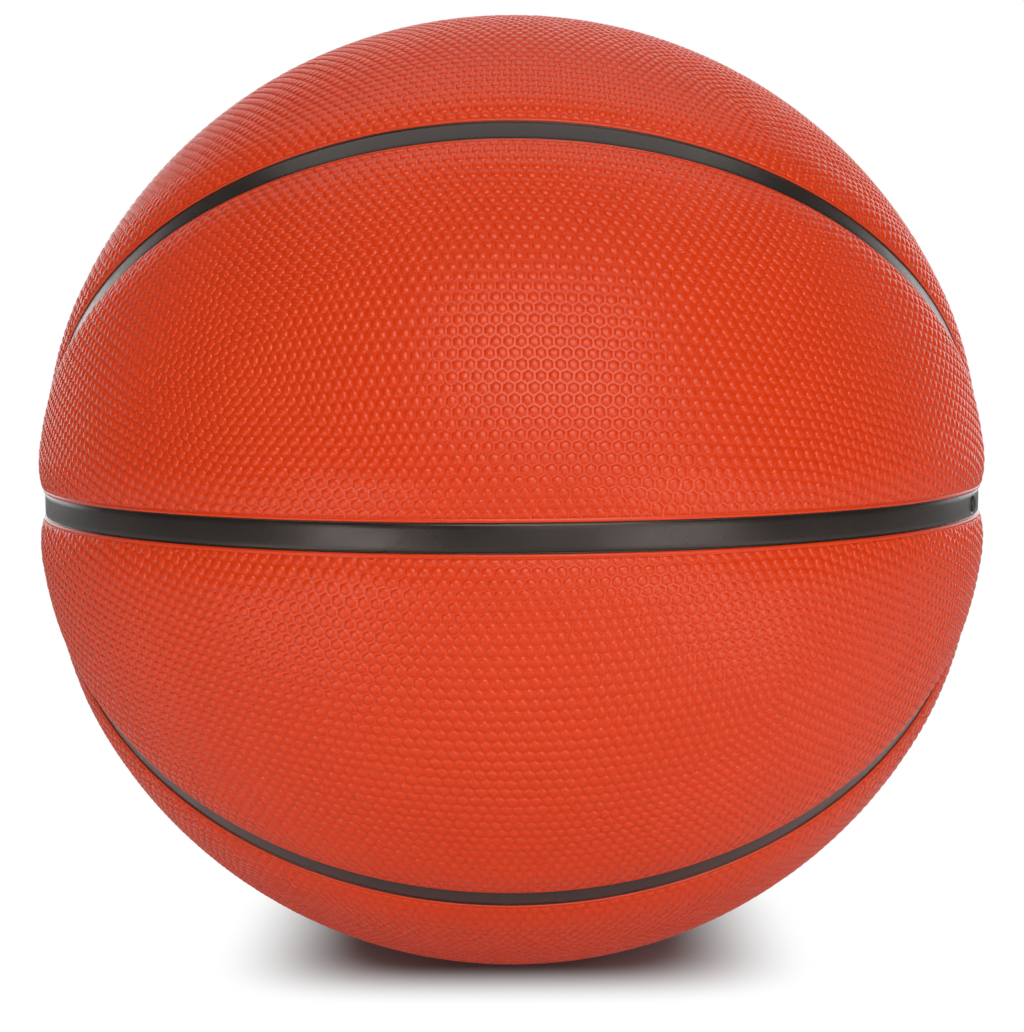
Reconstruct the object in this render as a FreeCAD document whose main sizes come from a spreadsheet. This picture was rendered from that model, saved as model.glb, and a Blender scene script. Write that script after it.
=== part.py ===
import FreeCAD, Part
import math
import os
import Sketcher

# A moulded, panelled basketball. Its centre is the origin, +Z is up and the middle channel lies in
# the XY plane. Lengths are in millimetres and angles in degrees.

SIZES = {
    # cover
    "crownRadius": 120.5,  # centre of the ball to the crown of a panel
    "coverThickness": 2.35,  # at the crown
    # rounding of a panel beside a channel: an arc that leaves the panel's edge 1.6 below the crown
    "rollRadius": 28.0,
    "rollEnd": 13.0,  # from the middle of the channel to where the rounding meets the crown
    "rollRunout": 0.05,  # it ends this far above the crown, so that the two cross cleanly
    "rollStart": 1.5,  # it starts over the channel, this far from its middle
    "rollDrop": 1.94,  # and this far below the crown
    # channels and the strips in them
    "channelWidth": 5.0,
    "stripThickness": 0.4,
    "loopAngle": 42.9,  # from the middle of a loop to its long sides
    "loopEndAngle": 52.0,  # from the middle of a loop to the centre of its round end
    # layers under the cover
    "carcassThickness": 0.5,
    "windingThickness": 0.5,
    "bladderThickness": 0.7,
    # valve, on the middle channel
    "valveAngle": 65.0,  # from -Y towards +X
    "needleBore": 1.9,
    "needleDepth": 8.0,
    "funnelDepth": 0.4,
    "plugNeck": 3.6,
    "plugRecess": 0.1,  # the plug's face lies this far below the strip's
    "plugGap": 0.1,  # round the plug's neck, in the strip
    "rimWidth": 0.55,  # of the raised rim round the plug's face
    "rimRise": 0.28,  # of the rim's straight sides above the strip
    "rimFlatness": 0.025,  # its top is rounded to half its width and this much more
    "plugBody": 4.6,
    "plugShoulder": 0.1,  # the wide part starts this far below the carcass's outside
    "plugLength": 14.5,
    "housingNeck": 6.4,
    "housingStem": 9.0,
    "housingFloor": 1.0,
    "airHole": 2.4,
    "flangeDiameter": 22.0,
    "flangeEdge": 0.6,
    "flangeRoot": 1.6,
}

# radii from the ball's centre, from the outside in
carcassRadius = "(Sizes.crownRadius - Sizes.coverThickness)"
stripRadius = f"({carcassRadius} + Sizes.stripThickness)"
windingRadius = f"({carcassRadius} - Sizes.carcassThickness)"
bladderRadius = f"({windingRadius} - Sizes.windingThickness)"
airRadius = f"({bladderRadius} - Sizes.bladderThickness)"

# angles seen from the ball's centre
channelHalf = "asin(Sizes.channelWidth / 2 / Sizes.crownRadius)"
rollFrom = "asin(Sizes.rollStart / Sizes.crownRadius)"
rollTo = "asin(Sizes.rollEnd / Sizes.crownRadius)"
endRadius = "asin(cos(Sizes.loopEndAngle) * sin(Sizes.loopAngle))"  # of a loop's round end
sideSweep = "2 * atan(tan(Sizes.loopEndAngle) / cos(Sizes.loopAngle))"
endSweep = f"2 * acos(sin(Sizes.loopAngle) * sin(Sizes.loopEndAngle) / cos({endRadius}))"

X, Y, Z = FreeCAD.Vector(1, 0, 0), FreeCAD.Vector(0, 1, 0), FreeCAD.Vector(0, 0, 1)

doc = FreeCAD.newDocument("basketball")
sheet = doc.addObject("Spreadsheet::Sheet", "Sizes")
for row, (alias, number) in enumerate(SIZES.items(), start=1):
    sheet.set(f"A{row}", alias)
    sheet.set(f"B{row}", str(number))
    sheet.setAlias(f"B{row}", alias)
doc.recompute()


def value(expression):
    """The number that an expression has now."""
    result = sheet.evalExpression(expression)
    return float(getattr(result, "Value", result))


def add(kind, name, **bound):
    """An object of the document with its properties bound to expressions."""
    made = doc.addObject(kind, name)
    for prop, expression in bound.items():
        made.setExpression(prop, expression)
    return made


def cut(name, base, tool):
    made = doc.addObject("Part::Cut", name)
    made.Base, made.Tool = base, tool
    return made


def mirror(name, source, normal):
    """The same piece on the other side of a plane through the ball's centre."""
    made = doc.addObject("Part::Mirroring", name)
    made.Source, made.Normal = source, normal
    return made


def turn(target, axis, angle):
    """Turns an object about an axis through the ball's centre, by an expression."""
    target.Placement = FreeCAD.Placement(FreeCAD.Vector(), FreeCAD.Rotation(axis, value(angle)))
    target.setExpression("Placement.Rotation.Angle", angle)


# ---- outlines in sketches ----


def polar(radius, angle):
    return f"{radius} * cos({angle})", f"{radius} * sin({angle})"


def onSphere(radius, offset):
    """Point of a sphere's section at the given distance from the axis."""
    return offset, f"sqrt({radius} ^ 2 - ({offset}) ^ 2)"


def bulgeCentre(start, stop, radius):
    """Centre of the arc from start to stop that bulges away from the origin."""
    middle, chord = (start + stop) / 2, stop - start
    out = FreeCAD.Vector(chord.y, -chord.x, 0).normalize()
    if out.dot(middle) < 0:
        out = -out
    return middle - out * math.sqrt(radius**2 - (chord.Length / 2) ** 2)


def hold(sketch, edge, end, corner, now):
    """Fixes a point of a sketch by the expressions for its two coordinates."""
    for kind, expression, number in zip(("DistanceX", "DistanceY"), corner, now):
        if expression == "0":
            sketch.addConstraint(Sketcher.Constraint("PointOnObject", edge, end, -2))
        else:
            index = sketch.addConstraint(Sketcher.Constraint(kind, edge, end, number))
            sketch.setExpression(f"Constraints[{index}]", expression)


def outline(sketch, corners, rounds):
    """Draws a closed outline. Corners are pairs of expressions; rounds gives the radius of the edges
    that are arcs, by the number of the corner where each starts."""
    points = [FreeCAD.Vector(value(x), value(y), 0) for x, y in corners]
    ends = []
    for k, start in enumerate(points):
        stop = points[(k + 1) % len(points)]
        if k not in rounds:
            sketch.addGeometry(Part.LineSegment(start, stop))
            ends.append((1, 2))
            continue
        centre = bulgeCentre(start, stop, value(rounds[k]))
        first, last = [math.atan2(p.y - centre.y, p.x - centre.x) for p in (start, stop)]
        forwards = math.sin(last - first) > 0
        if not forwards:
            first, last = last, first
        sketch.addGeometry(Part.ArcOfCircle(Part.Circle(centre, Z, value(rounds[k])), first, last))
        ends.append((1, 2) if forwards else (2, 1))
    for k, corner in enumerate(corners):
        before = (k - 1) % len(corners)
        sketch.addConstraint(Sketcher.Constraint("Coincident", before, ends[before][1], k, ends[k][0]))
        hold(sketch, k, ends[k][0], corner, points[k])
    for k, radius in rounds.items():
        index = sketch.addConstraint(Sketcher.Constraint("Radius", k, value(radius)))
        sketch.setExpression(f"Constraints[{index}]", radius)


# ---- patches of the sphere that the cover is bonded to ----


def inX(point):
    return FreeCAD.Vector(-point.x, point.y, point.z)


def inY(point):
    return FreeCAD.Vector(point.x, -point.y, point.z)


def onCircle(axis, angle, towards):
    """Point of the circle at this angle about the axis, on the side of the given direction."""
    side = (towards - axis * axis.dot(towards)).normalize()
    return axis * math.cos(angle) + side * math.sin(angle)


half = math.radians(value(channelHalf))
sideTilt = math.radians(value("Sizes.loopAngle"))
endTurn = math.radians(value("Sizes.loopEndAngle"))
endAngle = math.radians(value(endRadius))
sideNormal = FreeCAD.Vector(0, math.sin(sideTilt), math.cos(sideTilt))
sideMiddle = FreeCAD.Vector(0, -math.cos(sideTilt), math.sin(sideTilt))
endAxis = FreeCAD.Vector(math.sin(endTurn), -math.cos(endTurn), 0)


def loopFoot(offset):
    """Where the front loop's right end, moved outwards by an angle, meets the middle channel's edge."""
    across = endTurn + math.acos(math.cos(endAngle + offset) / math.cos(half))
    level = math.cos(half)
    return FreeCAD.Vector(level * math.sin(across), -level * math.cos(across), math.sin(half))


def loopArcs(offset):
    """The front loop above the middle channel, moved outwards by an angle: two ends and a long side."""
    foot = loopFoot(offset)
    joint = onCircle(endAxis, endAngle + offset, sideNormal)
    bend = onCircle(endAxis, endAngle + offset, foot + joint)
    top = onCircle(sideNormal, math.pi / 2 - offset, sideMiddle)
    return [(foot, bend, joint), (joint, top, inX(joint)), (inX(joint), inX(bend), inX(foot))]


def footArc(start, stop):
    """Part of the middle channel's upper edge."""
    return start, onCircle(Z, math.pi / 2 - half, start + stop), stop


def patch(name, elevation, arcs):
    """What the arcs cut out of the carcass's sphere. The sphere's own poles and seam are turned away
    from the patch, which lies round the given elevation at the front."""
    radius = value(carcassRadius)
    edges = [Part.Arc(*[point * radius for point in arc]).toShape() for arc in arcs]
    sphere = Part.makeSphere(radius)
    sphere.rotate(FreeCAD.Vector(), Z, 90)
    sphere.rotate(FreeCAD.Vector(), X, -elevation)
    pieces = sphere.Faces[0].generalFuse([Part.Wire(Part.__sortEdges__(edges))])[0].Faces
    made = doc.addObject("Part::Feature", name)
    made.Shape = min(pieces, key=lambda piece: piece.Area)
    made.Placement = FreeCAD.Placement()
    return made


def thicken(name, source, thickness):
    """A layer on the outside of a patch, with walls square to the sphere."""
    made = add("Part::Offset", name, Value=thickness)
    made.Source, made.Fill = source, True
    return made


channelCorner = FreeCAD.Vector(math.sqrt(1 - 2 * math.sin(half) ** 2), -math.sin(half), math.sin(half))
uprightFront = (channelCorner, FreeCAD.Vector(0, -math.sin(half), math.cos(half)), inX(channelCorner))
inner, outer = loopFoot(-half), loopFoot(half)

capPatch = patch("CapPatch", 21, loopArcs(-half) + [footArc(inX(inner), inner)])
waistPatch = patch("WaistPatch", 66.5, loopArcs(half) + [
    footArc(outer, channelCorner), uprightFront, footArc(inX(channelCorner), inX(outer))])
loopPatch = patch("LoopPatch", 21, loopArcs(-half) + loopArcs(half) + [
    footArc(inner, outer), footArc(inX(inner), inX(outer))])
uprightPatch = patch("UprightPatch", 90, [
    uprightFront, footArc(inX(channelCorner), -channelCorner + Z * 2 * channelCorner.z),
    tuple(inY(point) for point in uprightFront), footArc(channelCorner, inY(channelCorner))])


# ---- sections across a channel, and solids swept from them ----

ACROSS_FRONT = FreeCAD.Rotation(Z, -90) * FreeCAD.Rotation(X, 90)  # sketch x to -Y, sketch y to +Z


def section(name, corners, rounds):
    """A section with the channel's middle on the sketch's X axis, at the front of the ball."""
    sketch = doc.addObject("Sketcher::SketchObject", name)
    sketch.Placement.Rotation = ACROSS_FRONT
    outline(sketch, corners, rounds)
    return sketch


def roundingSection(name):
    """What the roundings on both sides of a channel take off."""
    low, high = "(Sizes.crownRadius - Sizes.rollDrop)", "(Sizes.crownRadius + Sizes.rollRunout)"
    top = "(Sizes.crownRadius * 1.05)"
    return section(name, [
        polar(low, rollFrom), polar(high, rollTo), polar(top, rollTo),
        polar(top, f"-{rollTo}"), polar(high, f"-{rollTo}"), polar(low, f"-{rollFrom}"),
    ], {0: "Sizes.rollRadius", 4: "Sizes.rollRadius"})


def sweep(name, source, axis, angle):
    made = add("Part::Revolution", name, Angle=angle)
    made.Source, made.Axis, made.Symmetric, made.Solid = source, axis, True, True
    return made


across = roundingSection("RoundingSection")
middleRounding = sweep("MiddleRounding", across, Z, "180 deg")
uprightRounding = sweep("UprightRounding", across, Z, "180 deg")
turn(uprightRounding, X, "-90 deg")
loopSide = sweep("LoopSide", across, Z, sideSweep)
turn(loopSide, -X, "Sizes.loopAngle")
acrossEnd = roundingSection("EndRoundingSection")
turn(acrossEnd, Z, f"{endRadius} - 90 deg")
loopRight = sweep("LoopRight", acrossEnd, -Y, endSweep)
turn(loopRight, Z, "Sizes.loopEndAngle")
loopRounding = doc.addObject("Part::MultiFuse", "LoopRounding")
loopRounding.Shapes = [loopSide, loopRight, mirror("LoopLeft", loopRight, X)]

# ---- cover panels and seam strips ----

capBlank = cut("CapBesideLoop", thicken("CapBlank", capPatch, "Sizes.coverThickness"), loopRounding)
cap = cut("cap_panel_front_top", capBlank, middleRounding)
waistBlank = cut("WaistBesideLoop", thicken("WaistBlank", waistPatch, "Sizes.coverThickness"), loopRounding)
waistBeside = cut("WaistBesideMiddle", waistBlank, middleRounding)
waist = cut("waist_panel_front_top", waistBeside, uprightRounding)
loopStrip = thicken("seam_loop_front_top", loopPatch, "Sizes.stripThickness")
overTop = thicken("seam_strip_over_top", uprightPatch, "Sizes.stripThickness")

pieces = [cap, waist, loopStrip, overTop]
for piece in (cap, waist, loopStrip):
    stem = piece.Name.removesuffix("_front_top")
    back = mirror(f"{stem}_back_top", piece, Y)
    pieces += [back, mirror(f"{stem}_front_bottom", piece, Z), mirror(f"{stem}_back_bottom", back, Z)]
pieces.append(mirror("seam_strip_under_base", overTop, Z))

ringSection = section("RingSection", [
    polar(carcassRadius, f"-{channelHalf}"), polar(stripRadius, f"-{channelHalf}"),
    polar(stripRadius, channelHalf), polar(carcassRadius, channelHalf),
], {1: stripRadius, 3: carcassRadius})
valveHole = add("Part::Cylinder", "ValveHole", Radius="Sizes.plugNeck / 2 + Sizes.plugGap",
                Height="Sizes.crownRadius")
valveHole.Placement.Rotation = FreeCAD.Rotation(Z, value("Sizes.valveAngle")) * FreeCAD.Rotation(X, 90)
pieces.append(cut("seam_ring_middle", sweep("RingBlank", ringSection, Z, "360 deg"), valveHole))

# ---- layers under the cover and the valve, all turned about the valve's axis ----


def turned(name, corners, rounds):
    """A piece with its axis on local Z, which points out of the ball through the valve."""
    body = doc.addObject("PartDesign::Body", name)
    sketch = body.newObject("Sketcher::SketchObject", f"{name}_section")
    plane = [item for item in body.Origin.OriginFeatures if item.Role == "XZ_Plane"][0]
    sketch.AttachmentSupport, sketch.MapMode = (plane, ""), "FlatFace"
    outline(sketch, corners, rounds)
    revolution = body.newObject("PartDesign::Revolution", f"{name}_turned")
    revolution.Profile, revolution.ReferenceAxis = sketch, (sketch, ["V_Axis"])
    body.Placement.Rotation = valveHole.Placement.Rotation
    pieces.append(body)


def layer(name, outside, inside):
    """A round layer with a hole for the valve's neck."""
    neck = "Sizes.housingNeck / 2"
    turned(name, [onSphere(outside, neck), ("0", f"-{outside}"), ("0", f"-{inside}"), onSphere(inside, neck)],
           {0: outside, 2: inside})


layer("carcass_shell", carcassRadius, windingRadius)
layer("winding_layer", windingRadius, bladderRadius)
layer("bladder", bladderRadius, airRadius)

plugFace = f"({stripRadius} - Sizes.plugRecess)"
plugFoot = f"({plugFace} - Sizes.plugLength)"
shoulder = f"({carcassRadius} - Sizes.plugShoulder)"
rimTop = f"({stripRadius} + Sizes.rimRise)"
rimInside = "(Sizes.plugNeck / 2 - Sizes.rimWidth)"
turned("valve_plug", [
    (rimInside, plugFace), (rimInside, rimTop), ("Sizes.plugNeck / 2", rimTop),
    ("Sizes.plugNeck / 2", shoulder), ("Sizes.plugBody / 2", shoulder),
    ("Sizes.plugBody / 2", plugFoot), ("0", plugFoot),
    ("0", f"{plugFace} - Sizes.needleDepth"), ("Sizes.needleBore / 2", f"{plugFace} - Sizes.needleDepth"),
    ("Sizes.needleBore / 2", f"{plugFace} - Sizes.funnelDepth"),
], {1: "Sizes.rimWidth / 2 + Sizes.rimFlatness"})

neck, stem = "Sizes.housingNeck / 2", "Sizes.housingStem / 2"
flange, bore, air = "Sizes.flangeDiameter / 2", "Sizes.plugBody / 2", "Sizes.airHole / 2"
turned("valve_housing", [
    onSphere(carcassRadius, bore), onSphere(carcassRadius, neck),
    onSphere(airRadius, neck), onSphere(airRadius, flange),
    (flange, f"{onSphere(airRadius, flange)[1]} - Sizes.flangeEdge"),
    (stem, f"{onSphere(airRadius, stem)[1]} - Sizes.flangeRoot"),
    (stem, f"{plugFoot} - Sizes.housingFloor"), (air, f"{plugFoot} - Sizes.housingFloor"),
    (air, plugFoot), (bore, plugFoot),
], {0: carcassRadius, 2: airRadius})

# ---- checks and files ----

doc.recompute()
for item in doc.Objects:
    if {"Invalid", "Error"} & set(item.State):
        raise RuntimeError(f"{item.Label} failed: {item.State}")
os.makedirs("parts", exist_ok=True)
for piece in pieces:
    shape = piece.Shape
    if shape.isNull() or not shape.isValid() or len(shape.Solids) != 1:
        raise RuntimeError(f"{piece.Label} is not one valid solid")
    shape.exportStep(f"parts/{piece.Label}.step")
    print(piece.Label, round(shape.Volume, 1), shape.ShapeType, len(shape.Faces))
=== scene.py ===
import bpy
import bmesh
import math
import random
from mathutils import Matrix, Vector


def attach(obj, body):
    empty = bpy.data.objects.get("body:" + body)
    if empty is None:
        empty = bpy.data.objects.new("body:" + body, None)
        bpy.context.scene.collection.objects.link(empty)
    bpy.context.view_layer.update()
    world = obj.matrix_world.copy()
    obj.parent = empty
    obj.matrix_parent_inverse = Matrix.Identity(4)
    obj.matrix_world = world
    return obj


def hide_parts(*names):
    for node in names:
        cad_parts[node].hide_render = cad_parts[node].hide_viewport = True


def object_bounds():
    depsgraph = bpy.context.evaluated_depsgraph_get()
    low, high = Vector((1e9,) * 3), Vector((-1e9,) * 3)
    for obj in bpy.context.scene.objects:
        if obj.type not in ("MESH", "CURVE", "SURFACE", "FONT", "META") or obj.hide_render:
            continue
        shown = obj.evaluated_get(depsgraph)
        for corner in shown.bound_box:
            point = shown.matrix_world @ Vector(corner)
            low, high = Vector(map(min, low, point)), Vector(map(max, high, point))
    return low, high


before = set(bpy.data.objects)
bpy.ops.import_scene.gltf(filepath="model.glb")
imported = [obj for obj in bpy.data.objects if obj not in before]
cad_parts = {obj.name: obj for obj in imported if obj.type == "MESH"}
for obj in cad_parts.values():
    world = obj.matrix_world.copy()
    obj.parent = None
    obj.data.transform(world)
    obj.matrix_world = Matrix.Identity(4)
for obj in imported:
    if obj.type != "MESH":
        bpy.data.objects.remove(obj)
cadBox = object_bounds()
scene = bpy.context.scene
print("frame loaded")

# the ball's layout, in metres and degrees from its centre

ball = {
    "crown": 0.1205,  # to the tops of the pebbles, away from the channels
    "strip": 0.11855,  # to the face of the black strips
    "carcass": 0.11817,
    "channelHalf": 0.00297,  # from the middle of a channel to the wall of a panel
    "loopAngle": 42.9,  # from the middle of a loop to its long sides
    "loopEnd": 52.0,  # from the middle of a loop to the centre of its round end
    "rollRadius": 0.028,  # rounding of the panels beside a channel
    "rollFrom": (0.0015, -0.00194),  # distance from the channel's middle, and height from the crown
    "rollTo": (0.013, 0.00005),
    "rollBlend": 8,  # the higher, the sharper the roundings of two channels meet
}

tilt = math.radians(ball["loopAngle"])
endTurn = math.radians(ball["loopEnd"])
endAngle = math.asin(math.cos(endTurn) * math.sin(tilt))
sideNormal = Vector((0, math.sin(tilt), math.cos(tilt)))
endAxis = Vector((math.sin(endTurn), -math.cos(endTurn), 0))
pastSide = sideNormal.cross(endAxis)  # a loop's round end lies on this side of its long sides


def folded(point):  # every eighth of the ball has the same channels
    return Vector((abs(point.x), -abs(point.y), abs(point.z)))


def channelGaps(point):  # distances from the channels' middle lines, the loop's positive outside it
    spot = folded(point)
    if spot.dot(pastSide) > 0:
        loop = math.acos(min(1, spot.dot(endAxis))) - endAngle
    else:
        loop = math.asin(spot.dot(sideNormal))
    return {
        "middle": math.asin(spot.z) * ball["crown"],
        "upright": math.asin(-spot.y) * ball["crown"],
        "loop": loop * ball["crown"],
    }


def slideTo(point, channel, distance):  # across the channel, to this distance from its middle line
    spot, angle = folded(point), distance / ball["crown"]
    axis, polar = Vector((0, 0, 1)), math.pi / 2 - angle
    if channel == "upright":
        axis = Vector((0, -1, 0))
    if channel == "loop":
        axis = sideNormal
        if spot.dot(pastSide) > 0:
            axis, polar = endAxis, endAngle + angle
    side = (spot - axis * axis.dot(spot)).normalized()
    spot = axis * math.cos(polar) + side * math.sin(polar)
    signs = [-1 if flip else 1 for flip in (point.x < 0, point.y > 0, point.z < 0)]
    return Vector([part * sign for part, sign in zip(spot, signs)])


def rollCentre():  # in the plane across a channel
    start, stop = [Vector((
        (ball["crown"] + height) * math.cos(across / ball["crown"]),
        (ball["crown"] + height) * math.sin(across / ball["crown"]),
    )) for across, height in (ball["rollFrom"], ball["rollTo"])]
    chord = stop - start
    out = Vector((chord.y, -chord.x)).normalized()
    return (start + stop) / 2 - out * math.sqrt(ball["rollRadius"] ** 2 - (chord.length / 2) ** 2)


rolling = rollCentre()


def skinRadius(point):  # height of the pebbles' tops
    drop = 0
    for gap in channelGaps(point).values():
        if abs(gap) < ball["rollTo"][0]:
            angle = abs(gap) / ball["crown"]
            along = rolling.x * math.cos(angle) + rolling.y * math.sin(angle)
            height = along + math.sqrt(along ** 2 - rolling.length_squared + ball["rollRadius"] ** 2)
            drop += max(0, ball["crown"] - height) ** ball["rollBlend"]
    return ball["crown"] - drop ** (1 / ball["rollBlend"])


# rubber and thread


def addNode(tree, kind, settings=None, **values):
    node = tree.nodes.new(kind)
    for key, setting in (settings or {}).items():
        setattr(node, key, setting)
    for key, setting in values.items():
        node.inputs[key.replace("_", " ")].default_value = setting
    return node


def newGroup(name, inputs, outputs):
    group = bpy.data.node_groups.new(name, "ShaderNodeTree")
    for direction, sockets in (("INPUT", inputs), ("OUTPUT", outputs)):
        for label, kind in sockets:
            group.interface.new_socket(name=label, in_out=direction, socket_type=kind)
    return group, group.nodes.new("NodeGroupInput"), group.nodes.new("NodeGroupOutput")


def rubberGroup():  # blotches of colour and shine, and a fine grain
    colour, value = "NodeSocketColor", "NodeSocketFloat"
    group, given, result = newGroup(
        "mouldedRubber",
        [("Colour", colour), ("Second Colour", colour), ("Blotch Scale", value), ("Grain Scale", value),
         ("Roughness", value), ("Roughness Range", value)],
        [("Colour", colour), ("Roughness", value), ("Height", value)])
    link = group.links.new
    place = addNode(group, "ShaderNodeTexCoord")
    blotch = addNode(group, "ShaderNodeTexNoise", Detail=4, Roughness=0.55)
    grain = addNode(group, "ShaderNodeTexNoise", Detail=3, Roughness=0.6)
    tint = addNode(group, "ShaderNodeMix", {"data_type": "RGBA"})
    centred = addNode(group, "ShaderNodeMath", {"operation": "SUBTRACT"})
    centred.inputs[1].default_value = 0.5  # the middle of the noise
    spread = addNode(group, "ShaderNodeMath", {"operation": "MULTIPLY_ADD"})
    for noise, scale in ((blotch, "Blotch Scale"), (grain, "Grain Scale")):
        link(place.outputs["Object"], noise.inputs["Vector"])
        link(given.outputs[scale], noise.inputs["Scale"])
    link(blotch.outputs["Fac"], tint.inputs[0])
    link(given.outputs["Colour"], tint.inputs[6])
    link(given.outputs["Second Colour"], tint.inputs[7])
    link(blotch.outputs["Fac"], centred.inputs[0])
    link(centred.outputs[0], spread.inputs[0])
    link(given.outputs["Roughness Range"], spread.inputs[1])
    link(given.outputs["Roughness"], spread.inputs[2])
    link(tint.outputs[2], result.inputs["Colour"])
    link(spread.outputs[0], result.inputs["Roughness"])
    link(grain.outputs["Fac"], result.inputs["Height"])
    return group


mouldedRubber = rubberGroup()


def rubber(name, look):
    material = bpy.data.materials.new(name)
    material.use_nodes = True
    tree = material.node_tree
    shader = tree.nodes["Principled BSDF"]
    shader.inputs["IOR"].default_value = look.get("ior", 1.5)
    shader.inputs["Specular Tint"].default_value = (*look.get("shine", (1, 1, 1)), 1)
    effect = addNode(tree, "ShaderNodeGroup", {"node_tree": mouldedRubber})
    for socket, key in (("Colour", "colour"), ("Second Colour", "second")):
        effect.inputs[socket].default_value = (*look[key], 1)
    for socket, key in (("Blotch Scale", "blotches"), ("Grain Scale", "grain"),
                        ("Roughness", "roughness"), ("Roughness Range", "range")):
        effect.inputs[socket].default_value = look[key]
    bump = addNode(tree, "ShaderNodeBump", Strength=look["bump"], Distance=0.0002)
    tree.links.new(effect.outputs["Colour"], shader.inputs["Base Color"])
    tree.links.new(effect.outputs["Roughness"], shader.inputs["Roughness"])
    tree.links.new(effect.outputs["Height"], bump.inputs["Height"])
    tree.links.new(bump.outputs["Normal"], shader.inputs["Normal"])
    return material


def windingThread(name, look):  # bands of thread laid one over another at several angles
    material = bpy.data.materials.new(name)
    material.use_nodes = True
    tree = material.node_tree
    shader = tree.nodes["Principled BSDF"]
    shader.inputs["Roughness"].default_value = look["roughness"]
    place = addNode(tree, "ShaderNodeTexCoord")
    total = None
    for turn in look["turns"]:
        mapping = addNode(tree, "ShaderNodeMapping", Rotation=[math.radians(part) for part in turn])
        bands = addNode(tree, "ShaderNodeTexWave", Scale=look["threads"], Distortion=0.6, Detail=1)
        tree.links.new(place.outputs["Object"], mapping.inputs["Vector"])
        tree.links.new(mapping.outputs["Vector"], bands.inputs["Vector"])
        if total is None:
            total = bands.outputs["Fac"]
            continue
        over = addNode(tree, "ShaderNodeMath", {"operation": "MAXIMUM"})
        tree.links.new(total, over.inputs[0])
        tree.links.new(bands.outputs["Fac"], over.inputs[1])
        total = over.outputs[0]
    tint = addNode(tree, "ShaderNodeMix", {"data_type": "RGBA"})
    tint.inputs[6].default_value = (*look["between"], 1)
    tint.inputs[7].default_value = (*look["thread"], 1)
    bump = addNode(tree, "ShaderNodeBump", Strength=0.6, Distance=0.0003)
    tree.links.new(total, tint.inputs[0])
    tree.links.new(tint.outputs[2], shader.inputs["Base Color"])
    tree.links.new(total, bump.inputs["Height"])
    tree.links.new(bump.outputs["Normal"], shader.inputs["Normal"])
    return material


finishes = {
    "cover": rubber("orangeCover", {
        "colour": (0.675, 0.044, 0.003), "second": (0.60, 0.033, 0.002), "blotches": 30, "grain": 3500,
        "roughness": 0.27, "range": 0.1, "bump": 0.12, "ior": 1.44, "shine": (1, 0.88, 0.76)}),
    "seam": rubber("blackStrip", {
        "colour": (0.009, 0.0065, 0.005), "second": (0.019, 0.0145, 0.012), "blotches": 75, "grain": 2200,
        "roughness": 0.26, "range": 0.26, "bump": 0.15, "shine": (1, 0.86, 0.8)}),
    "carcass": rubber("carcassRubber", {
        "colour": (0.05, 0.047, 0.045), "second": (0.035, 0.033, 0.032), "blotches": 25, "grain": 900,
        "roughness": 0.65, "range": 0.15, "bump": 0.5}),
    "bladder": rubber("butylRubber", {
        "colour": (0.03, 0.03, 0.033), "second": (0.045, 0.044, 0.046), "blotches": 18, "grain": 1500,
        "roughness": 0.38, "range": 0.15, "bump": 0.2}),
    "plug": rubber("valveRubber", {
        "colour": (0.03, 0.027, 0.025), "second": (0.045, 0.041, 0.038), "blotches": 300, "grain": 3000,
        "roughness": 0.5, "range": 0.15, "bump": 0.2}),
    "winding": windingThread("nylonWinding", {
        "threads": 320, "turns": [(0, 0, 0), (0, 60, 20), (70, 0, 50), (40, 110, 0)],
        "thread": (0.68, 0.66, 0.6), "between": (0.22, 0.2, 0.17), "roughness": 0.5}),
}
print("materials made")


def addObject(name, bm):
    mesh = bpy.data.meshes.new(name)
    bm.to_mesh(mesh)
    bm.free()
    made = bpy.data.objects.new(name, mesh)
    scene.collection.objects.link(made)
    return made


def addPiece(name, bm, finish, nodes):
    piece = addObject(name, bm)
    piece.data.shade_smooth()
    piece.data.materials.append(finishes[finish])
    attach(piece, "root")
    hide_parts(*nodes)
    return piece


# pebbled cover panels

pebbles = {
    "edgeParts": 34,  # of each edge of the icosahedron that the net of cells starts from
    "height": 0.00036,
    "web": 0.00023,  # half the flat web between two pebbles, measured at a cell's corners
    "steep": (0.00017, 0.00017),  # side of a pebble: across and up
    "shoulder": (0.0003, 0.00012),
    "dome": 0.00007,
    "uneven": 0.00009,
    "sizes": (0.94, 1.06),  # smallest and largest, against the size that its cell would give it
    "area": 0.0000053,  # of a full cell
    "sizeSteps": 8,  # pebbles of the same eighth of the full size are raised together
    "sizeLimit": 9,  # and none is larger than this many eighths
    "seed": 7,
}
border = {
    "cells": 0.0037,  # the cells end this far from a channel's middle line
    "keep": 0.0041,  # and a cell is kept if its middle is at least this far from it
    "relax": 70,
    "deep": 0.016,  # cells beyond this stay where they are
    # the smooth lip: distance from a channel's middle line, and height from the pebbles' tops
    "rings": [(0.00361, -0.00024), (0.00334, -0.00015), (0.00314, -0.00018), (0.00304, -0.00029)],
    "merge": 0.00001,  # points closer than this are one
}
outlines = {  # the channels round a panel and its side of them, and near which azimuth two of them meet
    "cap": {"sides": [("middle", 1), ("loop", -1)], "corners": [("middle", "loop", 75)]},
    "waist": {"sides": [("middle", 1), ("upright", 1), ("loop", 1)],
              "corners": [("middle", "loop", 78), ("middle", "upright", 88)]},
}
search = {"slides": 6, "close": 1e-9, "cornerSlides": 12, "cornerStart": 0.03}  # of spots on an outline


def sideGaps(point, kind):
    gaps = channelGaps(point)
    return [(gaps[channel] * sign, channel, sign) for channel, sign in outlines[kind]["sides"]]


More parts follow.
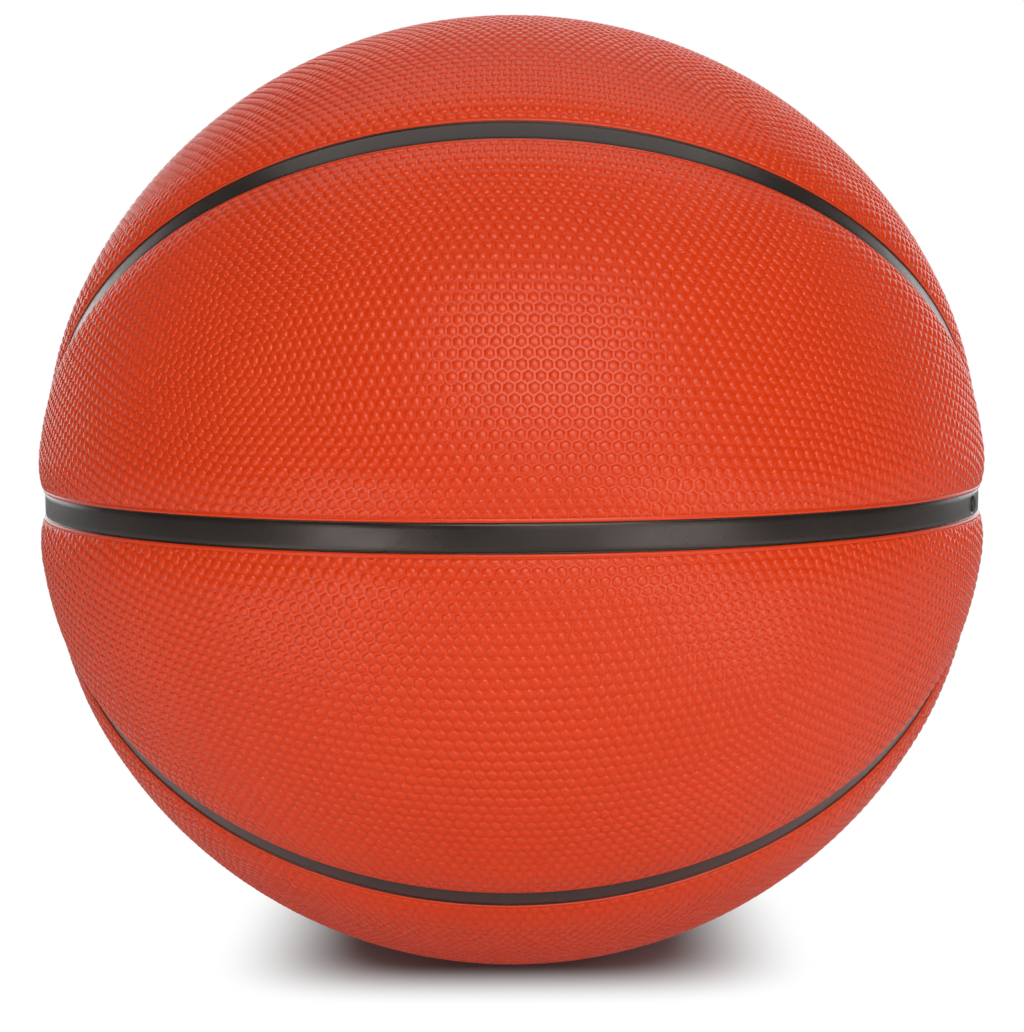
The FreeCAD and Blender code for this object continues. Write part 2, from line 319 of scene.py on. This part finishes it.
def ontoOutline(point, kind, distance):
    for _ in range(search["slides"]):
        gap, channel, sign = min(sideGaps(point, kind))
        if abs(gap - distance) < search["close"]:
            break
        point = slideTo(point, channel, distance * sign)
    return point


def cornersOf(kind, front, top, distance):
    signs, found = dict(outlines[kind]["sides"]), []
    y = -1 if front else 1
    z = search["cornerStart"] if top else -search["cornerStart"]
    for first, second, azimuth in outlines[kind]["corners"]:
        turn = math.radians(azimuth)
        for right in (1, -1):
            point = Vector((right * math.sin(turn), y * math.cos(turn), z))
            for _ in range(search["cornerSlides"]):
                point = slideTo(point.normalized(), first, distance * signs[first])
                point = slideTo(point, second, distance * signs[second])
            found.append(point)
    return found


def panelNumber(kind, front, top):
    return 1 + (kind == "waist") * 4 + (not front) * 2 + (not top)


def cellSphere():
    bm = bmesh.new()
    bmesh.ops.create_icosphere(bm, subdivisions=1, radius=1)
    sideways = Matrix.Rotation(math.radians(90), 3, "Y")  # two opposite corners onto the x axis
    bmesh.ops.rotate(bm, verts=bm.verts[:], cent=(0, 0, 0), matrix=sideways)
    corners = [vert.co.copy() for vert in bm.verts]
    side = math.acos(1 / math.sqrt(5))  # angle between two corners of an icosahedron
    bmesh.ops.subdivide_edges(bm, edges=bm.edges[:], cuts=pebbles["edgeParts"] - 1, use_grid_fill=True)
    for vert in bm.verts:  # even steps along the sphere instead of along the flat faces
        near = sorted(corners, key=lambda corner: -corner.dot(vert.co))[:3]
        parts = Matrix(near).transposed().inverted() @ vert.co
        weights = [math.sin(max(0, part / sum(parts)) * side) for part in parts]
        spot = sum((corner * weight for corner, weight in zip(near, weights)), Vector())
        vert.co = spot.normalized()
    # a third off each end of each edge leaves hexagons
    bmesh.ops.bevel(bm, geom=bm.verts[:], offset=100 / 3, offset_type="PERCENT", segments=1, profile=0.5,
                    affect="VERTICES", material=-1)
    for vert in bm.verts:
        vert.co.normalize()
    owner = bm.faces.layers.int.new("owner")
    for face in bm.faces:
        centre = face.calc_center_median().normalized()
        kind = "cap" if channelGaps(centre)["loop"] < 0 else "waist"
        if min(sideGaps(centre, kind))[0] > border["keep"]:
            face[owner] = panelNumber(kind, centre.y <= 0, centre.z >= 0)
    loose = True
    while loose:  # a cell that hangs on its panel by fewer than three sides would be squeezed flat
        loose = [face for face in bm.faces if face[owner] and heldSides(face, owner) < 3]
        for face in loose:
            face[owner] = 0
    return bm


def heldSides(face, owner):
    beside = [other for edge in face.edges for other in edge.link_faces if other != face]
    return sum(other[owner] == face[owner] for other in beside)


def relaxCells(bm, kind, corners):  # pulls the border straight and evens out the cells beside it
    edge = {vert: min(sideGaps(vert.co, kind))[1:] for vert in bm.verts if vert.is_boundary}
    pinned = {min(edge, key=lambda vert: (vert.co - corner).length): corner for corner in corners}
    near = [vert for vert in bm.verts if min(sideGaps(vert.co, kind))[0] < border["deep"]]
    for _ in range(border["relax"]):
        bmesh.ops.smooth_vert(bm, verts=near, factor=0.5, use_axis_x=True, use_axis_y=True, use_axis_z=True)
        for vert in near:
            vert.co.normalize()
        for vert, (channel, sign) in edge.items():
            vert.co = pinned.get(vert) or slideTo(vert.co, channel, border["cells"] * sign)


def panelSkin(cells, kind, front, top):
    bm = cells.copy()
    owner = bm.faces.layers.int["owner"]
    number = panelNumber(kind, front, top)
    bmesh.ops.delete(bm, geom=[face for face in bm.faces if face[owner] != number], context="FACES")
    corners = cornersOf(kind, front, top, border["cells"])
    relaxCells(bm, kind, corners)

    rng = random.Random(pebbles["seed"] + number)
    shake = pebbles["uneven"] / ball["crown"]
    for vert in bm.verts:
        if not vert.is_boundary:
            vert.co += Vector([rng.uniform(-shake, shake) for _ in range(3)])
            vert.co.normalize()
    outside = bm.faces[:]
    inside = bmesh.ops.duplicate(bm, geom=bm.verts[:] + bm.edges[:] + outside)["geom"]
    inner = [item for item in inside if isinstance(item, bmesh.types.BMFace)]
    bmesh.ops.reverse_faces(bm, faces=inner)
    innerVerts = {item for item in inside if isinstance(item, bmesh.types.BMVert)}
    innerEdge = [item for item in inside if isinstance(item, bmesh.types.BMEdge) and item.is_boundary]
    outerEdge = [item for item in bm.edges if item.is_boundary and item.verts[0] not in innerVerts]
    for vert in bm.verts:
        vert.co *= ball["carcass"] if vert in innerVerts else skinRadius(vert.co) - pebbles["height"]

    # the smooth lip and the wall down to the carcass, then the same step on the inside
    wall = [(ball["channelHalf"], None)]
    outerLoop = edgeRings(bm, outerEdge, kind, front, top, corners, border["rings"] + wall)
    innerLoop = edgeRings(bm, innerEdge, kind, front, top, corners, wall)
    bmesh.ops.remove_doubles(bm, verts=outerLoop + innerLoop, dist=border["merge"])
    raisePebbles(bm, outside, rng)
    return bm


def edgeRings(bm, edges, kind, front, top, corners, rings):
    for distance, lift in rings:
        grown = bmesh.ops.extrude_edge_only(bm, edges=edges)["geom"]
        verts = [item for item in grown if isinstance(item, bmesh.types.BMVert)]
        edges = [item for item in grown if isinstance(item, bmesh.types.BMEdge) and item.is_boundary]
        nextCorners = cornersOf(kind, front, top, distance)
        for vert in verts:
            spot = vert.co.normalized()
            near = min(range(len(corners)), key=lambda k: (corners[k] - spot).length)
            if (corners[near] - spot).length < border["merge"]:
                spot = nextCorners[near]
            else:
                spot = ontoOutline(spot, kind, distance)
            vert.co = spot * (ball["carcass"] if lift is None else skinRadius(spot) + lift)
        corners = nextCorners
    return verts


def raisePebbles(bm, cells, rng):
    steps, sizes = pebbles["sizeSteps"], {}
    for face in cells:  # pebbles differ a little, and the small ones by the border stay in proportion
        size = math.sqrt(face.calc_area() / pebbles["area"]) * rng.uniform(*pebbles["sizes"])
        sizes.setdefault(min(pebbles["sizeLimit"], round(size * steps)) / steps, []).append(face)
    for size, some in sizes.items():
        bmesh.ops.inset_individual(bm, faces=some, thickness=pebbles["web"] * size)
        setSmooth(some, False)  # a crease where the pebble rises from the web
        for across, up in (pebbles["steep"], pebbles["shoulder"]):
            bmesh.ops.inset_individual(bm, faces=some, thickness=across * size, depth=up * size)
            setSmooth(some, True)
        bmesh.ops.poke(bm, faces=some, offset=pebbles["dome"] * size, center_mode="MEAN",
                       use_relative_offset=False)


def setSmooth(faces, smooth):
    for edge in {edge for face in faces for edge in face.edges}:
        edge.smooth = smooth


cells = cellSphere()
print("cells laid out:", len(cells.faces))
for kind in ("cap", "waist"):
    for side in ("front", "back"):
        for level in ("top", "bottom"):
            skin = panelSkin(cells, kind, side == "front", level == "top")
            node = f"{kind}_panel_{side}_{level}"
            piece = addPiece(f"pebbled_{node}", skin, "cover", [node])
            print(piece.name, len(piece.data.polygons), max(vert.co.length for vert in piece.data.vertices))
cells.free()
print("cover made")

# black strips in the channels

strip = {
    # half of the section, from the middle: distance from it and height above the face
    "profile": [(0, 0), (0.0008, 0), (0.0016, 0), (0.00238, 0), (0.00254, -0.00004), (0.00268, -0.00014),
                (0.00281, -0.00016), (0.0029, -0.00005), (0.00293, 0.0001)],
    "ringSteps": 360,
    "sideSteps": 130,
    "endSteps": 44,
    "endSweep": 62,  # degrees round a loop's end, to a little past the middle ring
    "meet": 0.00294,  # the other strips end at the middle ring, this far from its middle
    "uneven": 0.000025,
    "unevenDepth": 0.0001,  # the face is uneven, and what lies deeper than this isn't
    "waves": [(310, 0, 0), (0, 270, 0), (0, 0, 330), (620, -620, 0)],  # radians per metre
    "waveShift": 5,  # radians, at most
    "seeds": {"loop": 0, "upright": 10, "ring": 20},
}


def stripSection(bm, outwards, across):
    half = strip["profile"]
    whole = [(-gap, height) for gap, height in reversed(half[1:])] + half
    spots = [(ball["strip"] + height, gap / ball["strip"]) for gap, height in whole]
    spots += [(ball["carcass"], turn) for turn in (spots[-1][1], spots[0][1])]
    verts = [bm.verts.new(radius * (outwards * math.cos(turn) + across * math.sin(turn)))
             for radius, turn in spots]
    edges = [bm.edges.new((verts[k - 1], verts[k])) for k in range(len(verts))]
    return verts + edges


def spinStrip(bm, section, axis, angle, steps, closed=False):
    made = bmesh.ops.spin(bm, geom=section, cent=(0, 0, 0), axis=axis, dvec=(0, 0, 0), angle=angle,
                          steps=steps, use_merge=closed)
    return made["geom_last"]


def cutAtRing(bm):
    whole = bm.verts[:] + bm.edges[:] + bm.faces[:]
    bmesh.ops.bisect_plane(bm, geom=whole, dist=1e-7, plane_co=(0, 0, strip["meet"]), plane_no=(0, 0, 1),
                           clear_inner=True)
    bmesh.ops.holes_fill(bm, edges=[edge for edge in bm.edges if edge.is_boundary], sides=40)


def finishStrip(bm, seed, cut=True):
    bmesh.ops.remove_doubles(bm, verts=bm.verts[:], dist=0.000002)
    if cut:
        cutAtRing(bm)
    rng = random.Random(seed)
    most = strip["waveShift"]
    shifts = [rng.uniform(-most, most) for _ in range(3)] + [0]
    waves = [Vector(wave) for wave in strip["waves"]]
    for vert in bm.verts:
        if vert.co.length > ball["strip"] - strip["unevenDepth"]:
            rise = sum(math.sin(vert.co.dot(wave) + shift) for wave, shift in zip(waves, shifts))
            vert.co += vert.co.normalized() * rise / len(waves) * strip["uneven"]
    bmesh.ops.recalc_face_normals(bm, faces=bm.faces[:])
    return bm


def loopStrip():
    bm = bmesh.new()
    sweep = math.atan(math.tan(endTurn) / math.cos(tilt))
    joint = Matrix.Rotation(sweep, 3, sideNormal) @ Vector((0, -math.cos(tilt), math.sin(tilt)))
    section = stripSection(bm, joint, sideNormal)
    farSection = spinStrip(bm, section, sideNormal, -2 * sweep, strip["sideSteps"])
    around = math.radians(strip["endSweep"])
    spinStrip(bm, section, endAxis, -around, strip["endSteps"])
    spinStrip(bm, farSection, Vector((-endAxis.x, endAxis.y, 0)), around, strip["endSteps"])
    return bm


def ringStrip():
    bm = bmesh.new()
    section = stripSection(bm, Vector((0, -1, 0)), Vector((0, 0, 1)))
    spinStrip(bm, section, Vector((0, 0, 1)), 2 * math.pi, strip["ringSteps"], True)
    return bm


def uprightStrip():
    bm = bmesh.new()
    section = stripSection(bm, Vector((1, 0, 0)), Vector((0, 1, 0)))
    spinStrip(bm, section, Vector((0, -1, 0)), math.pi, strip["ringSteps"] // 2)
    return bm


def placed(bm, y, z):  # mirrored to the back or the bottom where y or z is -1
    bmesh.ops.scale(bm, vec=(1, y, z), verts=bm.verts[:])
    if y * z < 0:
        bmesh.ops.reverse_faces(bm, faces=bm.faces[:])
    return bm


seeds = strip["seeds"]
for side, y in (("front", 1), ("back", -1)):
    for level, z in (("top", 1), ("bottom", -1)):
        loop = placed(finishStrip(loopStrip(), seeds["loop"] + 2 * (y < 0) + (z < 0)), y, z)
        addPiece(f"black_loop_{side}_{level}", loop, "seam", [f"seam_loop_{side}_{level}"])
for node, z in (("seam_strip_over_top", 1), ("seam_strip_under_base", -1)):
    upright = placed(finishStrip(uprightStrip(), seeds["upright"] + (z < 0)), 1, z)
    addPiece(f"black_{node}", upright, "seam", [node])
wholeRing = finishStrip(ringStrip(), seeds["ring"], False)
ring = addPiece("black_seam_ring", wholeRing, "seam", ["seam_ring_middle"])

valve = {
    "angle": 65,  # from the front, towards the right
    "hole": 0.0019,
    "cut": 0.004,  # length of the cutter that goes through the strip
    "sides": 48,
}


def cutValveHole(ring):
    turn = math.radians(valve["angle"])
    axis = Vector((math.sin(turn), -math.cos(turn), 0))
    outwards = axis.to_track_quat("Z", "Y").to_matrix().to_4x4()
    bm = bmesh.new()
    bmesh.ops.create_cone(bm, cap_ends=True, segments=valve["sides"], radius1=valve["hole"],
                          radius2=valve["hole"], depth=valve["cut"],
                          matrix=Matrix.Translation(axis * ball["strip"]) @ outwards)
    cutter = addObject("valveHole", bm)
    hole = ring.modifiers.new("valveHole", "BOOLEAN")
    hole.object, hole.solver = cutter, "EXACT"
    whole = ring.evaluated_get(bpy.context.evaluated_depsgraph_get())
    cut = bpy.data.meshes.new_from_object(whole)
    ring.modifiers.clear()
    ring.data = cut
    bpy.data.objects.remove(cutter)


cutValveHole(ring)
print("strips made")

innerFinishes = {"carcass_shell": "carcass", "winding_layer": "winding", "bladder": "bladder",
                 "valve_housing": "carcass", "valve_plug": "plug"}
for node, finish in innerFinishes.items():
    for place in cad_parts[node].material_slots:
        place.material = finishes[finish]
print("inner pieces finished")

# camera, floor and light

camera = {
    "distance": 0.40606, "elevation": 4.465, "yaw": -0.276, "roll": 0.334, "lens": 53.32,
    "shift": (0.0002, -0.02557),
}


def addCamera():
    view = bpy.data.cameras.new("photoCamera")
    view.sensor_fit, view.sensor_height, view.lens = "VERTICAL", 36, camera["lens"]
    view.shift_x, view.shift_y = camera["shift"]
    view.clip_start = 0.01
    photoCamera = bpy.data.objects.new("photoCamera", view)
    scene.collection.objects.link(photoCamera)
    turned = (Matrix.Rotation(math.radians(-camera["yaw"]), 4, "Z")
              @ Matrix.Rotation(math.radians(90 - camera["elevation"]), 4, "X")
              @ Matrix.Rotation(math.radians(-camera["roll"]), 4, "Z"))
    photoCamera.matrix_world = turned @ Matrix.Translation((0, 0, camera["distance"]))
    scene.camera = photoCamera


addCamera()

floor = {
    "size": 3.0, "sides": 96, "below": 0.0001, "colour": 0.85,
    "paintedShadeColour": 0.33,  # painted shade: the floor as the camera sees it in the shadow, darker than the colour that lights the ball
    "shadowFrom": 0.039, "shadowTo": 0.079,  # inside this reach the camera sees the painted shadow patch, beyond it plain white
    "shadowDepth": 1.58,
}


def whiteFloorPaintedShadow():
    bm = bmesh.new()
    bmesh.ops.create_circle(bm, cap_ends=True, segments=floor["sides"], radius=floor["size"],
                            matrix=Matrix.Translation((0, 0, cadBox[0][2] - floor["below"])))
    piece = addObject("floor", bm)
    material = bpy.data.materials.new("whiteFloorPaintedShadow")
    piece.data.materials.append(material)
    material.use_nodes = True
    tree = material.node_tree
    tree.nodes.clear()
    result = addNode(tree, "ShaderNodeOutputMaterial")
    matte = addNode(tree, "ShaderNodeBsdfDiffuse")
    # camera rays see the floor in the darker painted shade colour, a painted shadow laid over the real one;
    # other rays get the true floor colour
    paintedShadeTone = addNode(tree, "ShaderNodeMix", {"data_type": "RGBA"})
    paintedShadeTone.inputs[6].default_value = (floor["colour"],) * 3 + (1,)
    paintedShadeTone.inputs[7].default_value = (floor["paintedShadeColour"],) * 3 + (1,)
    glow = addNode(tree, "ShaderNodeEmission", Color=(1, 1, 1, 1), Strength=1)
    path = addNode(tree, "ShaderNodeLightPath")
    place = addNode(tree, "ShaderNodeTexCoord")
    flat = addNode(tree, "ShaderNodeVectorMath", {"operation": "MULTIPLY"})
    flat.inputs[1].default_value = (1, floor["shadowDepth"], 0)
    # the fourth root of a sum of fourth powers gives the painted shadow patch its rounded corners
    square = addNode(tree, "ShaderNodeVectorMath", {"operation": "MULTIPLY"})
    squareReach = addNode(tree, "ShaderNodeVectorMath", {"operation": "LENGTH"})
    reach = addNode(tree, "ShaderNodeMath", {"operation": "SQRT"})
    # painted shadow: the camera sees the darkened floor only inside this soft elliptical patch and plain
    # white outside it; the real shadow also falls inside it
    fade = addNode(tree, "ShaderNodeMapRange", {"interpolation_type": "SMOOTHSTEP"})
    fade.inputs[1].default_value, fade.inputs[2].default_value = floor["shadowFrom"], floor["shadowTo"]
    seen = addNode(tree, "ShaderNodeMath", {"operation": "MULTIPLY"})
    mix = addNode(tree, "ShaderNodeMixShader")
    link = tree.links.new
    link(path.outputs["Is Camera Ray"], paintedShadeTone.inputs[0])
    link(paintedShadeTone.outputs[2], matte.inputs["Color"])
    link(place.outputs["Object"], flat.inputs[0])
    link(flat.outputs[0], square.inputs[0])
    link(flat.outputs[0], square.inputs[1])
    link(square.outputs[0], squareReach.inputs[0])
    link(squareReach.outputs["Value"], reach.inputs[0])
    link(reach.outputs[0], fade.inputs[0])
    link(fade.outputs[0], seen.inputs[0])
    link(path.outputs["Is Camera Ray"], seen.inputs[1])
    link(seen.outputs[0], mix.inputs[0])
    link(matte.outputs[0], mix.inputs[1])
    link(glow.outputs[0], mix.inputs[2])
    link(mix.outputs[0], result.inputs["Surface"])
    return piece


whiteFloorPaintedShadow()

studio = {"seen": 1, "front": 0.1, "back": 2.0, "turnFrom": 0.3, "turnTo": 0.75, "upwards": -0.4}


def whiteStudio():  # the camera sees plain white, and the ball is lit more from behind than from the front
    world = bpy.data.worlds.new("whiteStudio")
    scene.world = world
    world.use_nodes = True
    tree = world.node_tree
    background = tree.nodes["Background"]
    background.inputs["Color"].default_value = (1, 1, 1, 1)
    path = addNode(tree, "ShaderNodeLightPath")
    place = addNode(tree, "ShaderNodeTexCoord")
    facing = addNode(tree, "ShaderNodeVectorMath", {"operation": "DOT_PRODUCT"})
    facing.inputs[1].default_value = (0, 1, studio["upwards"])
    level = addNode(tree, "ShaderNodeMapRange", {"interpolation_type": "SMOOTHSTEP"})
    for number, key in enumerate(("turnFrom", "turnTo", "front", "back")):
        level.inputs[number + 1].default_value = studio[key]
    strength = addNode(tree, "ShaderNodeMix", {"data_type": "FLOAT"})
    strength.inputs[3].default_value = studio["seen"]
    tree.links.new(place.outputs["Generated"], facing.inputs[0])
    tree.links.new(facing.outputs["Value"], level.inputs[0])
    tree.links.new(path.outputs["Is Camera Ray"], strength.inputs[0])
    tree.links.new(level.outputs[0], strength.inputs[2])
    tree.links.new(strength.outputs[0], background.inputs["Strength"])


whiteStudio()

lamps = {
    "key": {"at": (0.13, -0.94, 0.61), "size": (0.8, 0.56), "power": 5.9},
    "top": {"at": (0.0, 0.15, 1.1), "size": (1.6, 0.8), "power": 4.1},
    "fill": {"at": (0.6, -1.65, 0.32), "size": (1.3, 1.1), "power": 6.2},
    "lowLeft": {"at": (-0.16, -0.2, -0.117), "size": (0.13, 0.13), "power": 0.075},
    "lowRight": {"at": (0.165, -0.195, -0.117), "size": (0.13, 0.13), "power": 0.06},
    "frontLeft": {"at": (-0.3, -0.62, -0.1), "size": (0.07, 0.09), "power": 0.2},
    "frontRight": {"at": (0.32, -0.62, -0.1), "size": (0.07, 0.09), "power": 0.2},
    "sideLeft": {"at": (-0.39, -0.535, -0.05), "size": (0.13, 0.2), "power": 0.24},
    "sideRight": {"at": (0.42, -0.505, -0.05), "size": (0.13, 0.2), "power": 0.2},
}


def addLamp(name, lamp):  # every lamp faces the middle of the ball
    light = bpy.data.lights.new(name, "AREA")
    light.shape, light.energy = "RECTANGLE", lamp["power"]
    light.size, light.size_y = lamp["size"]
    source = bpy.data.objects.new(name, light)
    scene.collection.objects.link(source)
    source.location = lamp["at"]
    source.rotation_euler = (-Vector(lamp["at"])).to_track_quat("-Z", "Y").to_euler()
    source.visible_camera = False


for name, lamp in lamps.items():
    addLamp(name, lamp)

scene.view_settings.view_transform = "Standard"
print("camera, floor and light set")
